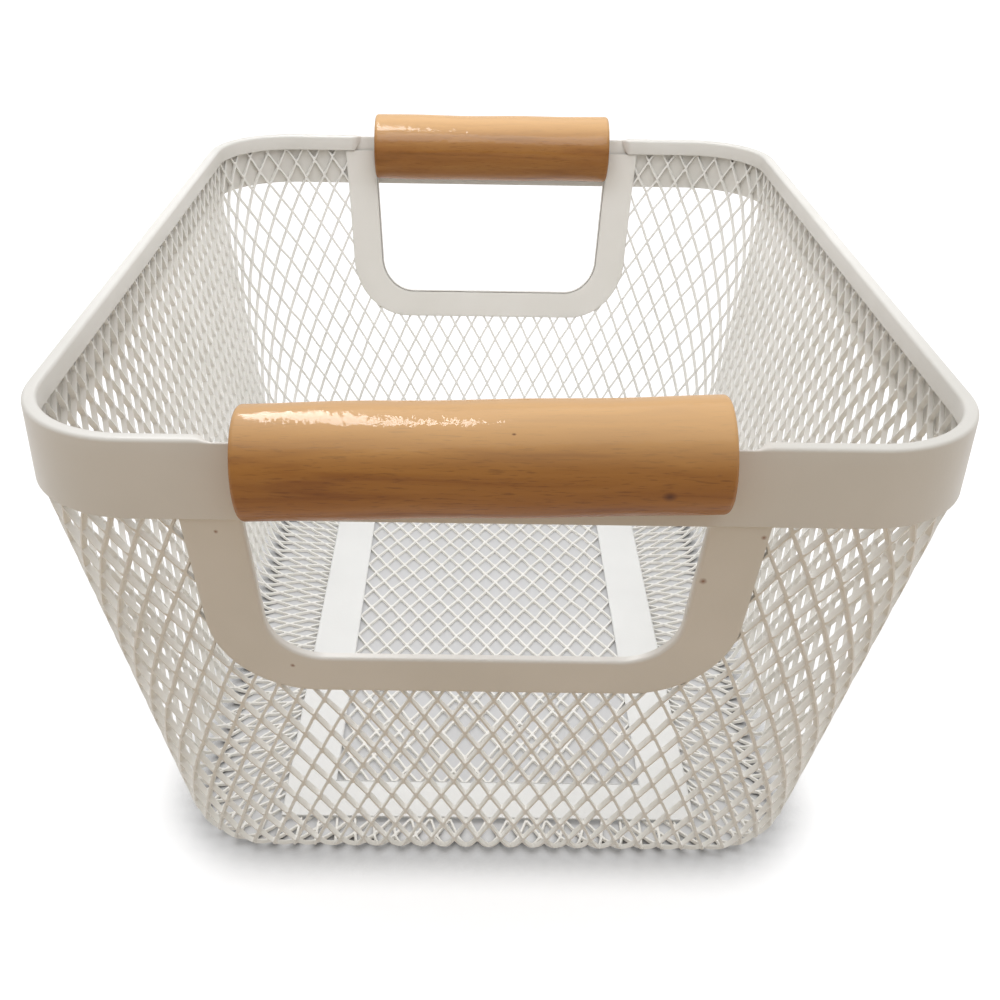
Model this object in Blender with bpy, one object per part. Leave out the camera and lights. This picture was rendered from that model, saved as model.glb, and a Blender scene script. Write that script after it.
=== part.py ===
"""Storage basket of expanded steel mesh, with a hemmed steel rim and two wooden grips.

A wall sheet of mesh is bent into a loop with round corners, upright behind the rim's band and
tapered below it, and turns in under a flat base frame, where the floor sheet meets it. The
band's top edge is folded into a hem that carries the mesh. At each end two U-shaped plates
clamp the mesh round a hand opening, and a grooved wooden grip sits astride the band above it.

Metres, +Z up. The origin is under the middle of the basket, and the grips are on the -Y end
(the front) and the +Y end (the back).
"""

import math

import bmesh
import bpy
from mathutils import Vector

# Rim and walls, measured outside the band
rim_width = 0.250
rim_length = 0.310
rim_height = 0.165
corner_radius = 0.033
wall_slope_share = 0.157
bend_radius = 0.008
bottom_radius = 0.010

# Gap between pieces that touch, and how far a cutter runs past what it cuts
clearance = 0.0003
overrun = 0.002

# Rim band: a strip whose top edge is folded inward and down
band_height = 0.0225
band_thickness = 0.0008
hem_drop = 0.0065
hem_play = 0.0005
hem_end_gap = 0.006

# Mesh: strands cut and stretched from one sheet
mesh_thickness = 0.0008
strand_width = 0.0022
seam_gap = 0.0045
# A cut strand end shorter than this share of a strand is left off
stub_share_min = 0.2

# U-shaped plates round each hand opening
plate_thickness = 0.0006
plate_leg_width = 0.0158
plate_bottom_width = 0.0128
opening_half_width = 0.060
opening_drop = 0.073
opening_corner_radius = 0.016
plate_lean_share = 0.06

# Base frame: a flat ring of strip on the floor mesh, set in from under the rim's outside
frame_side_margin = 0.055
frame_end_margin = 0.039
frame_strip = 0.017
frame_thickness = 0.001

# Grips: turned wood with a groove along the underside
grip_diameter = 0.0295
grip_length = 0.119
grip_drop = 0.005
grip_end_radius = 0.0025

# The front grip and its plates sit a little to the left, and the grip a little out of level
front_grip_shift = -0.0045
front_plate_shift = -0.006
front_tilt = math.radians(2.0)

# The back grip and its plates are a little narrower than the front ones
back_width_share = 0.905

# Counts
wall_columns = 46
wall_rows = 9
margin_rows = 2
floor_columns = 10
floor_rows = 12
corner_steps = 8
plate_corner_steps = 8
hem_steps = 6
grip_sides = 32
grip_end_steps = 3
cut_halvings = 16

# Depths of the layers, from the band's outer face inward
outer_plate_depth = band_thickness + clearance
mesh_depth = outer_plate_depth + plate_thickness + clearance
inner_plate_depth = mesh_depth + mesh_thickness + clearance
stack_depth = inner_plate_depth + plate_thickness
lip_depth = mesh_depth + mesh_thickness + hem_play
hem_depth = lip_depth + band_thickness
hem_radius = hem_depth / 2

# The wall's lean below the band, and where it meets the bottom curve and the floor
lean = math.atan(wall_slope_share)
bend_end = band_height + bend_radius * lean
curve_top = bottom_radius * (1 - math.sin(lean))
bend_drop = band_height + (bend_radius - mesh_depth) * math.sin(lean)
bend_inset = bend_radius - (bend_radius - mesh_depth) * math.cos(lean)
curve_start = bend_end + (rim_height - bend_drop - curve_top) / math.cos(lean)
curve_turn = math.pi / 2 - lean
curve_end = curve_start + bottom_radius * curve_turn
curve_inset = bend_inset + (curve_start - bend_end) * math.sin(lean) + bottom_radius * math.cos(lean)

# The base frame, and the line under its strip where the wall sheet ends and the floor's begins
frame_half_width = rim_width / 2 - frame_side_margin
frame_half_length = rim_length / 2 - frame_end_margin
seam_half_width = frame_half_width - frame_strip / 2
seam_half_length = frame_half_length - frame_strip / 2
margin_run = (rim_length / 2 - curve_inset) - seam_half_length
margin_end = curve_end + margin_run


def make_material(name, colour, roughness, metallic):
    """Principled finish with a linear base colour."""
    material = bpy.data.materials.new(name)
    material.use_nodes = True
    shader = material.node_tree.nodes["Principled BSDF"]
    shader.inputs["Base Color"].default_value = (*colour, 1)
    shader.inputs["Roughness"].default_value = roughness
    shader.inputs["Metallic"].default_value = metallic
    return material


def add_object(name, points, faces, material):
    """Closed solid from points and faces, shaded smooth across its gentle edges."""
    shape = bmesh.new()
    corners = [shape.verts.new(point) for point in points]
    for face in faces:
        shape.faces.new([corners[index] for index in face])
    bmesh.ops.recalc_face_normals(shape, faces=shape.faces)
    mesh = bpy.data.meshes.new(name)
    shape.to_mesh(mesh)
    shape.free()
    mesh.materials.append(material)
    mesh.shade_smooth()
    mesh.set_sharp_from_angle(angle=math.radians(35))
    item = bpy.data.objects.new(name, mesh)
    bpy.context.collection.objects.link(item)
    return item


def add_anchor(name, location, rotation):
    """Empty that carries the pieces of one end."""
    anchor = bpy.data.objects.new(name, None)
    anchor.location = location
    anchor.rotation_euler = rotation
    bpy.context.collection.objects.link(anchor)
    return anchor


def wall_profile(level, depth):
    """Inset from the rim's outside and drop below its top edge, at a level and a depth.

    The level runs down the wall's outside from the top edge, and the depth runs inward from
    the band's outer face. The wall is upright down to the band's lower edge, bends there on a
    small radius, and leans inward below.
    """
    turn = min(max((level - band_height) / bend_radius, 0), lean)
    run = max(level - bend_end, 0)
    inset = bend_radius - (bend_radius - depth) * math.cos(turn) + run * math.sin(lean)
    drop = min(level, band_height) + (bend_radius - depth) * math.sin(turn) + run * math.cos(lean)
    return inset, drop


def wall_section(level, depth):
    """Half width, half length, corner radius and height of the wall at a level and depth."""
    inset, drop = wall_profile(level, depth)
    slope_inset = max(level - bend_end, 0) * math.sin(lean)
    radius = corner_radius - (inset - slope_inset)
    return rim_width / 2 - inset, rim_length / 2 - inset, radius, rim_height - drop


def sheet_section(level, inner):
    """Section of the mesh: down the wall, round the bottom curve and in along the floor.

    The argument inner is the depth below the sheet's outer face. On the floor the outline
    narrows from the bottom curve's edge to the seam under the base frame.
    """
    if level <= curve_start:
        return wall_section(level, mesh_depth + inner)
    turn = lean + min((level - curve_start) / bottom_radius, curve_turn)
    reach = (bottom_radius - inner) * math.cos(turn)
    height = bottom_radius - (bottom_radius - inner) * math.sin(turn)
    radius = corner_radius - bend_inset - bottom_radius * math.cos(lean) + reach
    half_width = rim_width / 2 - curve_inset + reach
    half_length = rim_length / 2 - curve_inset + reach
    if level > curve_end:
        share = (level - curve_end) / margin_run
        half_width += share * (seam_half_width - half_width)
        half_length += share * (seam_half_length - half_length)
        radius *= 1 - share / 2
    return half_width, half_length, radius, height


def quarter_length(section):
    """Distance along the outline from the middle of an end wall to the middle of a side wall."""
    half_width, half_length, radius, height = section
    return half_width + half_length - (2 - math.pi / 2) * radius


def outline_point(section, share):
    """Point at a share of the way round the outline, from the middle of the front towards +X."""
    half_width, half_length, radius, height = section
    quarter, along = divmod(4 * (share % 1), 1)
    if quarter in (1, 3):
        along = 1 - along
    along *= quarter_length(section)
    straight = half_width - radius
    turn = (along - straight) / radius
    if turn < 0:
        x, y = along, half_length
    elif turn < math.pi / 2:
        x = straight + radius * math.sin(turn)
        y = half_length - radius + radius * math.cos(turn)
    else:
        x, y = half_width, half_length - radius - (turn - math.pi / 2) * radius
    return Vector((x if quarter in (0, 1) else -x, y if quarter in (1, 2) else -y, height))


def plate_half_width(half_width, level):
    """Half width of a U outline at a level; its legs lean together downwards."""
    return half_width - plate_lean_share * level


def end_values(y):
    """Width share, grip shift and plate shift of the end that a place belongs to."""
    if y < 0:
        return 1, front_grip_shift, front_plate_shift
    return back_width_share, 0, 0


def inside_outline(across, level, half_width, drop, radius):
    """Whether a place on the end wall lies inside a U outline with round lower corners."""
    across = abs(across)
    if level > drop or across > plate_half_width(half_width, level):
        return False
    corner_level = drop - radius
    corner_across = plate_half_width(half_width, corner_level) - radius
    if level < corner_level or across < corner_across:
        return True
    return math.hypot(across - corner_across, level - corner_level) < radius


def cut_away(share, level):
    """Whether the wall sheet is cut away here, up to the middle of the plates' width."""
    point = outline_point(sheet_section(level, 0), share)
    width_share, grip_shift, plate_shift = end_values(point.y)
    half_width = opening_half_width + plate_leg_width / 2
    drop = opening_drop + plate_bottom_width / 2
    radius = opening_corner_radius + plate_bottom_width / 2
    return inside_outline((point.x - plate_shift) / width_share, level, half_width, drop, radius)


def diamond_corners(half_pitch, half_rise):
    """Half diagonals of the diamond where two strands of the named width cross."""
    strand = math.hypot(half_pitch, half_rise)
    return strand_width * strand / (2 * half_rise), strand_width * strand / (2 * half_pitch)


def split_faces(places, faces, level):
    """Faces cut in two along a level of the sheet, with new places on the edges that cross it."""
    added = {}

    def place_between(a, b):
        key = (min(a, b), max(a, b))
        if key not in added:
            first, second = places[key[0]], places[key[1]]
            share = (level - first[1]) / (second[1] - first[1])
            added[key] = len(places)
            places.append(lerp(first, second, share))
        return added[key]

    result = []
    for face in faces:
        above, below = [], []
        for a, b in zip(face, face[1:] + face[:1]):
            (above if places[a][1] < level else below).append(a)
            if (places[a][1] < level) != (places[b][1] < level):
                middle = place_between(a, b)
                above.append(middle)
                below.append(middle)
        result += [part for part in (above, below) if len(part) > 2]
    return result


def lerp(first, second, share):
    """Place on the sheet between two others."""
    return tuple(a + (b - a) * share for a, b in zip(first, second))


def net_faces(corners, links, stubs):
    """Flat layout of a diamond net, as places on the sheet and faces between them.

    Each crossing is a diamond with its corners in the order top, right, bottom, left. Each
    link is a strand down from one crossing to another, to the right or the left, and each stub
    is a strand that runs from one edge of a crossing to two end places.
    """
    places = []
    first = {}
    for crossing, diamond in corners.items():
        first[crossing] = len(places)
        places.extend(diamond)
    faces = [[start, start + 1, start + 2, start + 3] for start in first.values()]
    for upper, lower, rightward in links:
        top, bottom = first[upper], first[lower]
        if rightward:
            faces.append([top + 2, top + 1, bottom, bottom + 3])
        else:
            faces.append([top + 3, top + 2, bottom + 1, bottom])
    for crossing, edge, ends in stubs:
        start = first[crossing]
        near, far = start + edge, start + (edge + 1) % 4
        faces.append([far, near, len(places), len(places) + 1])
        places.extend(ends)
    return places, faces


def add_net(name, corners, links, stubs, lift, material, bend_level=None):
    """Solid net: the flat layout laid on both faces of the sheet and closed along its edges."""
    places, faces = net_faces(corners, links, stubs)
    if bend_level:
        faces = split_faces(places, faces, bend_level)
    edges = {(face[k - 1], face[k]) for face in faces for k in range(len(face))}
    count = len(places)
    points = [lift(*place, 0) for place in places]
    points += [lift(*place, mesh_thickness) for place in places]
    solid = [face[::-1] for face in faces]
    solid += [[index + count for index in face] for face in faces]
    solid += [[b + count, a + count, a, b] for a, b in edges if (b, a) not in edges]
    return add_object(name, points, solid, material)


def wall_levels():
    """Levels of the rows of crossings: down the wall to the bottom curve's middle, then in."""
    quarter = quarter_length(wall_section(hem_radius, mesh_depth))
    pitch = 2 * quarter / wall_columns
    middle = (curve_start + curve_end) / 2
    rise = diamond_corners(pitch, (middle - hem_radius) / wall_rows)[1]
    top = hem_radius + rise
    bottom = margin_end - seam_gap / 2
    levels = [top + (middle - top) * row / wall_rows for row in range(wall_rows)]
    levels += [middle + (bottom - middle) * row / margin_rows for row in range(margin_rows + 1)]
    return levels


def wall_diamond(column, row, levels):
    """The four corners of a crossing on the wall sheet, as shares of the loop and levels."""
    level = levels[row]
    section = sheet_section(level, 0)
    quarter = quarter_length(section)
    half_pitch = 2 * quarter / wall_columns
    half_rise = (levels[-1] - levels[0]) / (len(levels) - 1)
    across, down = diamond_corners(half_pitch, half_rise)
    share = column / (2 * wall_columns)
    across /= 4 * quarter
    down = min(down, mesh_down_limit(row, levels))
    left, right = share - across, share + across
    return [(share, level - down), (right, level), (share, level + down), (left, level)]


def mesh_down_limit(row, levels):
    """Half height of a crossing that keeps it clear of the next row."""
    others = [other for other in (row - 1, row + 1) if 0 <= other < len(levels)]
    return min(abs(levels[other] - levels[row]) for other in others) / 3


def wall_strand(column, row, side, step, levels):
    """A strand's two long sides, each from this crossing to the one beside and below or above."""
    here = wall_diamond(column, row, levels)
    there = wall_diamond(column + side, row + step, levels)
    edge = {(1, -1): 0, (1, 1): 1, (-1, 1): 2, (-1, -1): 3}[side, step]
    near, far = edge, (edge + 1) % 4
    return edge, (here[near], there[(edge + 3) % 4]), (here[far], there[(edge + 2) % 4])


def cut_share(column, row, side, step, levels):
    """Share of a strand's length that is left where it meets the edge of the cut opening."""
    start = (column / (2 * wall_columns), levels[row])
    end = ((column + side) / (2 * wall_columns), levels[row + step])
    kept, lost = 0, 1
    for halving in range(cut_halvings):
        middle = (kept + lost) / 2
        if cut_away(*lerp(start, end, middle)):
            lost = middle
        else:
            kept = middle
    return kept


def make_wall(material):
    """The wall sheet, cut out at the two hand openings with its strand ends left free."""
    levels = wall_levels()
    ring = 2 * wall_columns
    kept = {(column, row) for row in range(len(levels)) for column in range(row % 2, ring, 2)
            if not cut_away(column / ring, levels[row])}
    corners = {crossing: wall_diamond(*crossing, levels) for crossing in sorted(kept)}
    links = []
    stubs = []
    for column, row in corners:
        for side, step in ((1, -1), (1, 1), (-1, 1), (-1, -1)):
            if not 0 <= row + step < len(levels):
                continue
            other = ((column + side) % ring, row + step)
            if other in kept:
                if step == 1:
                    links.append(((column, row), other, side == 1))
                continue
            edge, near_side, far_side = wall_strand(column, row, side, step, levels)
            share = cut_share(column, row, side, step, levels)
            if share > stub_share_min:
                ends = [lerp(*near_side, share), lerp(*far_side, share)]
                stubs.append(((column, row), edge, ends))

    def lift(share, level, inner):
        return outline_point(sheet_section(level, inner), share)

    bend_level = (band_height + bend_end) / 2
    return add_net("mesh_wall", corners, links, stubs, lift, material, bend_level)


def make_floor(material):
    """The floor sheet, with a crossing at its centre and its edges under the base frame's strip."""
    half_width = seam_half_width - seam_gap / 2 - strand_width
    half_length = seam_half_length - seam_gap / 2 - strand_width
    half_pitch = 2 * half_width / floor_columns
    half_rise = 2 * half_length / floor_rows
    across, down = diamond_corners(half_pitch, half_rise)
    corners = {}
    links = []
    for row in range(floor_rows + 1):
        for column in range((row + (floor_columns + floor_rows) // 2) % 2, floor_columns + 1, 2):
            x = (column - floor_columns / 2) * half_pitch
            y = (row - floor_rows / 2) * half_rise
            corners[column, row] = [(x, y - down), (x + across, y), (x, y + down), (x - across, y)]
            if row < floor_rows and column < floor_columns:
                links.append(((column, row), (column + 1, row + 1), True))
            if row < floor_rows and column > 0:
                links.append(((column, row), (column - 1, row + 1), False))

    def lift(x, y, inner):
        return Vector((x, y, inner))

    return add_net("mesh_floor", corners, links, [], lift, material)


def rim_stations():
    """Places round the rim: the four hem ends and the steps of the four corners, in order.

    Each is the signs of its corner, and its turn on the corner's arc or None at a hem end.
    """
    turns = [step * math.pi / 2 / corner_steps for step in range(corner_steps + 1)]
    stations = []
    for x_sign, y_sign, towards_side in ((1, -1, True), (1, 1, False), (-1, 1, True), (-1, -1, False)):
        corner = [(x_sign, y_sign, turn) for turn in (turns if towards_side else turns[::-1])]
        end = [(x_sign, y_sign, None)]
        stations += end + corner if towards_side else corner + end
    return stations


def rim_point(station, level, depth):
    """Point of the band at a station."""
    half_width, half_length, radius, height = wall_section(level, depth)
    x_sign, y_sign, turn = station
    if turn is None:
        width_share, grip_shift, plate_shift = end_values(y_sign)
        hem_end = grip_length * width_share / 2 + hem_end_gap
        return Vector((x_sign * hem_end + grip_shift, y_sign * half_length, height))
    x = half_width - radius + radius * math.sin(turn)
    y = half_length - radius + radius * math.cos(turn)
    return Vector((x_sign * x, y_sign * y, height))


def hem_profile():
    """The hem's outline in levels and depths, from the strip's outer top edge to its inner one."""
    arcs = []
    for radius in (hem_radius, hem_radius - band_thickness):
        turns = [step * math.pi / hem_steps for step in range(hem_steps + 1)]
        arcs.append([(hem_radius - radius * math.sin(turn), hem_radius - radius * math.cos(turn))
                     for turn in turns])
    return arcs[0] + [(hem_drop, hem_depth), (hem_drop, lip_depth)] + arcs[1][::-1]


def make_band(material):
    """Strip all round the rim, with the hem left out where the grips sit."""
    stations = rim_stations()
    hem = hem_profile()
    profile = hem + [(band_height, band_thickness), (band_height, 0)]
    size = len(profile)
    last = len(hem) - 1
    points = []
    used = {}
    faces = []

    def corner(station, index):
        key = (station % len(stations), index)
        if key not in used:
            used[key] = len(points)
            points.append(rim_point(stations[key[0]], *profile[index]))
        return used[key]

    def quad(station, a, b):
        beside = station + 1
        faces.append([corner(station, a), corner(station, b), corner(beside, b), corner(beside, a)])

    for station in range(len(stations)):
        for side in range(last, size):
            quad(station, side, (side + 1) % size)
        following = stations[(station + 1) % len(stations)]
        if stations[station][2] is None and following[2] is None:
            quad(station, 0, last)
        else:
            for side in range(last):
                quad(station, side, side + 1)
    for station, (x_sign, y_sign, turn) in enumerate(stations):
        if turn is None:
            faces.append([corner(station, index) for index in range(len(hem))])
    return add_object("rim_band", points, faces, material)


def u_path(half_width, drop, radius, top):
    """Points down one leg, round the bottom and up the other leg of a U outline."""
    corner_level = drop - radius
    corner_across = plate_half_width(half_width, corner_level) - radius
    levels = (top, band_height, (band_height + bend_end) / 2, bend_end)
    right = [(plate_half_width(half_width, level), level) for level in levels]
    for step in range(plate_corner_steps + 1):
        turn = step * math.pi / 2 / plate_corner_steps
        right.append((corner_across + radius * math.cos(turn), corner_level + radius * math.sin(turn)))
    return right + [(-across, level) for across, level in reversed(right)]


def sweep_plate(name, rows, depths, anchor, material):
    """Solid swept along a U: each row is one edge's path, at its own depth in the wall."""
    width_share, grip_shift, plate_shift = end_values(anchor.location.y)
    count = len(rows[0])
    points = []
    for row, depth in zip(rows, depths):
        for across, level in row:
            inset, drop = wall_profile(level, depth)
            points.append((across * width_share, inset, -drop))
    faces = []
    for edge in range(len(rows)):
        start, following = edge * count, (edge + 1) % len(rows) * count
        for k in range(count - 1):
            faces.append([start + k, start + k + 1, following + k + 1, following + k])
    faces.append([edge * count for edge in range(len(rows))])
    faces.append([edge * count + count - 1 for edge in range(len(rows))])
    plate = add_object(name, points, faces, material)
    plate.parent = anchor
    plate.location = (plate_shift, 0, 0)
    return plate


def make_outer_plate(name, anchor, material):
    """Outer plate, with a flange turned in round the opening over the mesh's cut edge."""
    top = hem_radius + clearance
    outer = u_path(opening_half_width + plate_leg_width, opening_drop + plate_bottom_width,
                   opening_corner_radius + plate_bottom_width, top)
    flange = u_path(opening_half_width + plate_thickness, opening_drop + plate_thickness,
                    opening_corner_radius + plate_thickness, top)
    inner = u_path(opening_half_width, opening_drop, opening_corner_radius, top)
    back = outer_plate_depth + plate_thickness
    rows = [outer, inner, inner, flange, flange, outer]
    depths = [outer_plate_depth, outer_plate_depth, stack_depth, stack_depth, back, back]
    return sweep_plate(name, rows, depths, anchor, material)


def make_inner_plate(name, anchor, material):
    """Inner plate, flat, set back from the opening by the outer plate's flange."""
    top = hem_drop + clearance
    set_back = plate_thickness + clearance
    outer = u_path(opening_half_width + plate_leg_width, opening_drop + plate_bottom_width,
                   opening_corner_radius + plate_bottom_width, top)
    inner = u_path(opening_half_width + set_back, opening_drop + set_back,
                   opening_corner_radius + set_back, top)
    rows = [outer, inner, inner, outer]
    depths = [inner_plate_depth, inner_plate_depth, stack_depth, stack_depth]
    return sweep_plate(name, rows, depths, anchor, material)


def make_base_frame(material):
    """Flat rectangular ring lying on the mesh, over the seam between wall and floor."""
    low = mesh_thickness + clearance
    high = low + frame_thickness
    signs = ((1, 1), (-1, 1), (-1, -1), (1, -1))
    points = []
    for inset, height in ((0, low), (frame_strip, low), (frame_strip, high), (0, high)):
        across, along = frame_half_width - inset, frame_half_length - inset
        points += [(x_sign * across, y_sign * along, height) for x_sign, y_sign in signs]
    faces = []
    for ring in range(4):
        start, following = 4 * ring, 4 * ((ring + 1) % 4)
        for k in range(4):
            after = (k + 1) % 4
            faces.append([start + k, start + after, following + after, following + k])
    return add_object("base_frame", points, faces, material)


def grip_profile(length):
    """Stations along the grip and their radii, from one rounded end to the other."""
    turns = [step * math.pi / 2 / grip_end_steps for step in range(grip_end_steps + 1)]
    flat = length / 2 - grip_end_radius
    neck = grip_diameter / 2 - grip_end_radius
    end = [(flat + grip_end_radius * math.cos(turn), neck + grip_end_radius * math.sin(turn))
           for turn in turns]
    return end + [(-x, radius) for x, radius in reversed(end)]


def make_groove(anchor, location, rotation):
    """Cutter for the groove that takes the band and the plates behind it."""
    play = grip_length / 2 * math.tan(abs(front_tilt))
    ceiling = grip_drop - hem_radius + play + clearance
    floor = -grip_diameter / 2 - overrun
    half_length = grip_length / 2 + overrun
    half_width = stack_depth / 2 + clearance
    points = [(x, y, z) for x in (-half_length, half_length) for y in (-half_width, half_width)
              for z in (floor, ceiling)]
    faces = [[0, 1, 3, 2], [4, 6, 7, 5], [0, 4, 5, 1], [2, 3, 7, 6], [0, 2, 6, 4], [1, 5, 7, 3]]
    groove = add_object("groove_cutter_" + anchor.name, points, faces, bpy.data.materials["wood"])
    groove.parent = anchor
    groove.location = location
    groove.rotation_euler = rotation
    groove.hide_render = True
    groove.display_type = "WIRE"
    return groove


def make_grip(name, anchor, tilt, material):
    """Turned wooden grip, centred on the thickness of the band and plates it sits astride."""
    width_share, grip_shift, plate_shift = end_values(anchor.location.y)
    points = []
    profile = grip_profile(grip_length * width_share)
    for x, radius in profile:
        for side in range(grip_sides):
            angle = 2 * math.pi * side / grip_sides
            points.append((x, radius * math.cos(angle), radius * math.sin(angle)))
    faces = [list(range(grip_sides)), list(range(len(points) - grip_sides, len(points)))]
    for ring in range(len(profile) - 1):
        start, following = ring * grip_sides, (ring + 1) * grip_sides
        for side in range(grip_sides):
            after = (side + 1) % grip_sides
            faces.append([start + side, start + after, following + after, following + side])
    grip = add_object(name, points, faces, material)
    grip.parent = anchor
    grip.location = (grip_shift, stack_depth / 2, -grip_drop)
    grip.rotation_euler = (0, -tilt, 0)
    cut = grip.modifiers.new("groove", "BOOLEAN")
    cut.operation = "DIFFERENCE"
    cut.solver = "EXACT"
    cut.object = make_groove(anchor, grip.location, grip.rotation_euler)
    return grip


for item in list(bpy.data.objects):
    bpy.data.objects.remove(item)

steel = make_material("painted_steel", (0.62, 0.59, 0.54), 0.45, 0.0)
mesh_steel = make_material("painted_mesh", (0.66, 0.63, 0.58), 0.5, 0.0)
strip_steel = make_material("painted_strip", (0.76, 0.75, 0.73), 0.45, 0.0)
wood = make_material("wood", (0.47, 0.24, 0.09), 0.35, 0.0)

make_wall(mesh_steel)
make_floor(mesh_steel)
make_band(steel)
make_base_frame(strip_steel)

front = add_anchor("front_end", (0, -rim_length / 2, rim_height), (0, 0, 0))
back = add_anchor("back_end", (0, rim_length / 2, rim_height), (0, 0, math.pi))
for label, anchor, tilt in (("front", front, front_tilt), ("back", back, 0)):
    make_outer_plate(label + "_plate_outer", anchor, steel)
    make_inner_plate(label + "_plate_inner", anchor, steel)
    make_grip(label + "_grip", anchor, tilt, wood)
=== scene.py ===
import math

import bmesh
import bpy
import numpy as np
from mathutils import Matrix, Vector


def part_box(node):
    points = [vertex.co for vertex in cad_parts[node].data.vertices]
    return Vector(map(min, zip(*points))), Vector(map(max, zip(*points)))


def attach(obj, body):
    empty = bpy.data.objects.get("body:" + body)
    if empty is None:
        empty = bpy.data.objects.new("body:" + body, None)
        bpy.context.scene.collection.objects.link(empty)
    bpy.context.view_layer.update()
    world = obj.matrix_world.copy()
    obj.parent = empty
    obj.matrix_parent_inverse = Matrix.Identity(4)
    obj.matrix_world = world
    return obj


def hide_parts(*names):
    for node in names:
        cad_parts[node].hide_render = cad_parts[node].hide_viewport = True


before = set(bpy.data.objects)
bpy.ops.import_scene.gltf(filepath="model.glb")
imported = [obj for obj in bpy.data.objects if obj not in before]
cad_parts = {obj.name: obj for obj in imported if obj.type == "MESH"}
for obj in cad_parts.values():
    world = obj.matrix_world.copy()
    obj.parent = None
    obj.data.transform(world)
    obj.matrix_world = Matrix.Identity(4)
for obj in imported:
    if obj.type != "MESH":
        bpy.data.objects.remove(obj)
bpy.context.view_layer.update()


# Rim band: an upright strip of sheet steel round the basket's mouth. Its top edge is folded
# inward and down into a flat-topped hem that grips the mesh, and it is powder coated warm
# white with the rest. Where a grip sits astride it, the hem is left out.
band_thickness = 0.0007
band_edge = 0.0002
hem_drop = 0.0065
hem_depth = 0.0040
hem_bend = 0.0011
corner_radius = 0.033
flat_drop = 0.0008
grip_lengths = {-1: 0.119, 1: 0.1077}
grip_shifts = {-1: -0.0045, 1: 0.0}
hem_end_gap = 0.0065
hem_end_run = 0.0035
end_part = 0.4
corner_part = 0.2

rim_low, rim_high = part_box("rim_band")
rim_half_width, rim_half_length, rim_height = rim_high
band_height = rim_high.z - rim_low.z


def linear(hex_colour):
    """Linear colour of an sRGB hex value: each channel by the sRGB curve."""
    values = [int(hex_colour[k:k + 2], 16) / 255 for k in (1, 3, 5)]
    return [v / 12.92 if v <= 0.04045 else ((v + 0.055) / 1.055) ** 2.4 for v in values] + [1]


def add_node(tree, kind, links=(), stops=(), **settings):
    """One node: settings name its attributes or, with spaces as underscores, its inputs.

    at_ and a number is the input with that number. Each link is (output socket, name or
    number of this node's input). Stops are a colour ramp's places and hex colours.
    """
    node = tree.nodes.new(kind)
    for name, value in settings.items():
        if hasattr(node, name):
            setattr(node, name, value)
        else:
            socket = int(name[3:]) if name[:3] == "at_" else name.replace("_", " ")
            node.inputs[socket].default_value = value
    for number, (position, colour) in enumerate(stops):
        if number == len(node.color_ramp.elements):
            node.color_ramp.elements.new(1)
        node.color_ramp.elements[number].position = position
        node.color_ramp.elements[number].color = linear(colour)
    for output, target in links:
        tree.links.new(output, node.inputs[target])
    return node


def add_piece(name, points, faces, material, sharp_degrees=40):
    """Mesh object at the origin, smooth but for edges sharper than the angle.

    Points that coincide are joined, so that no face is left without area.
    """
    mesh = bpy.data.meshes.new(name)
    mesh.from_pydata(np.asarray(points).tolist(), [], faces)
    joined = bmesh.new()
    joined.from_mesh(mesh)
    bmesh.ops.remove_doubles(joined, verts=joined.verts, dist=1e-7)
    joined.to_mesh(mesh)
    joined.free()
    mesh.materials.append(material)
    mesh.shade_smooth()
    mesh.set_sharp_from_angle(angle=math.radians(sharp_degrees))
    piece = bpy.data.objects.new(name, mesh)
    bpy.context.scene.collection.objects.link(piece)
    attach(piece, "root")
    return piece


def grid_faces(rows, columns, wrap_rows, wrap_columns):
    """Quads of a grid of points, numbered row by row, closed across where it wraps."""
    row = np.arange(rows if wrap_rows else rows - 1)[:, None]
    column = np.arange(columns if wrap_columns else columns - 1)[None, :]
    next_row = (row + 1) % rows * columns
    next_column = (column + 1) % columns
    this_row = row * columns
    quads = [this_row + column, this_row + next_column, next_row + next_column, next_row + column]
    return np.stack(np.broadcast_arrays(*quads), -1).reshape(-1, 4).tolist()


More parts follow.
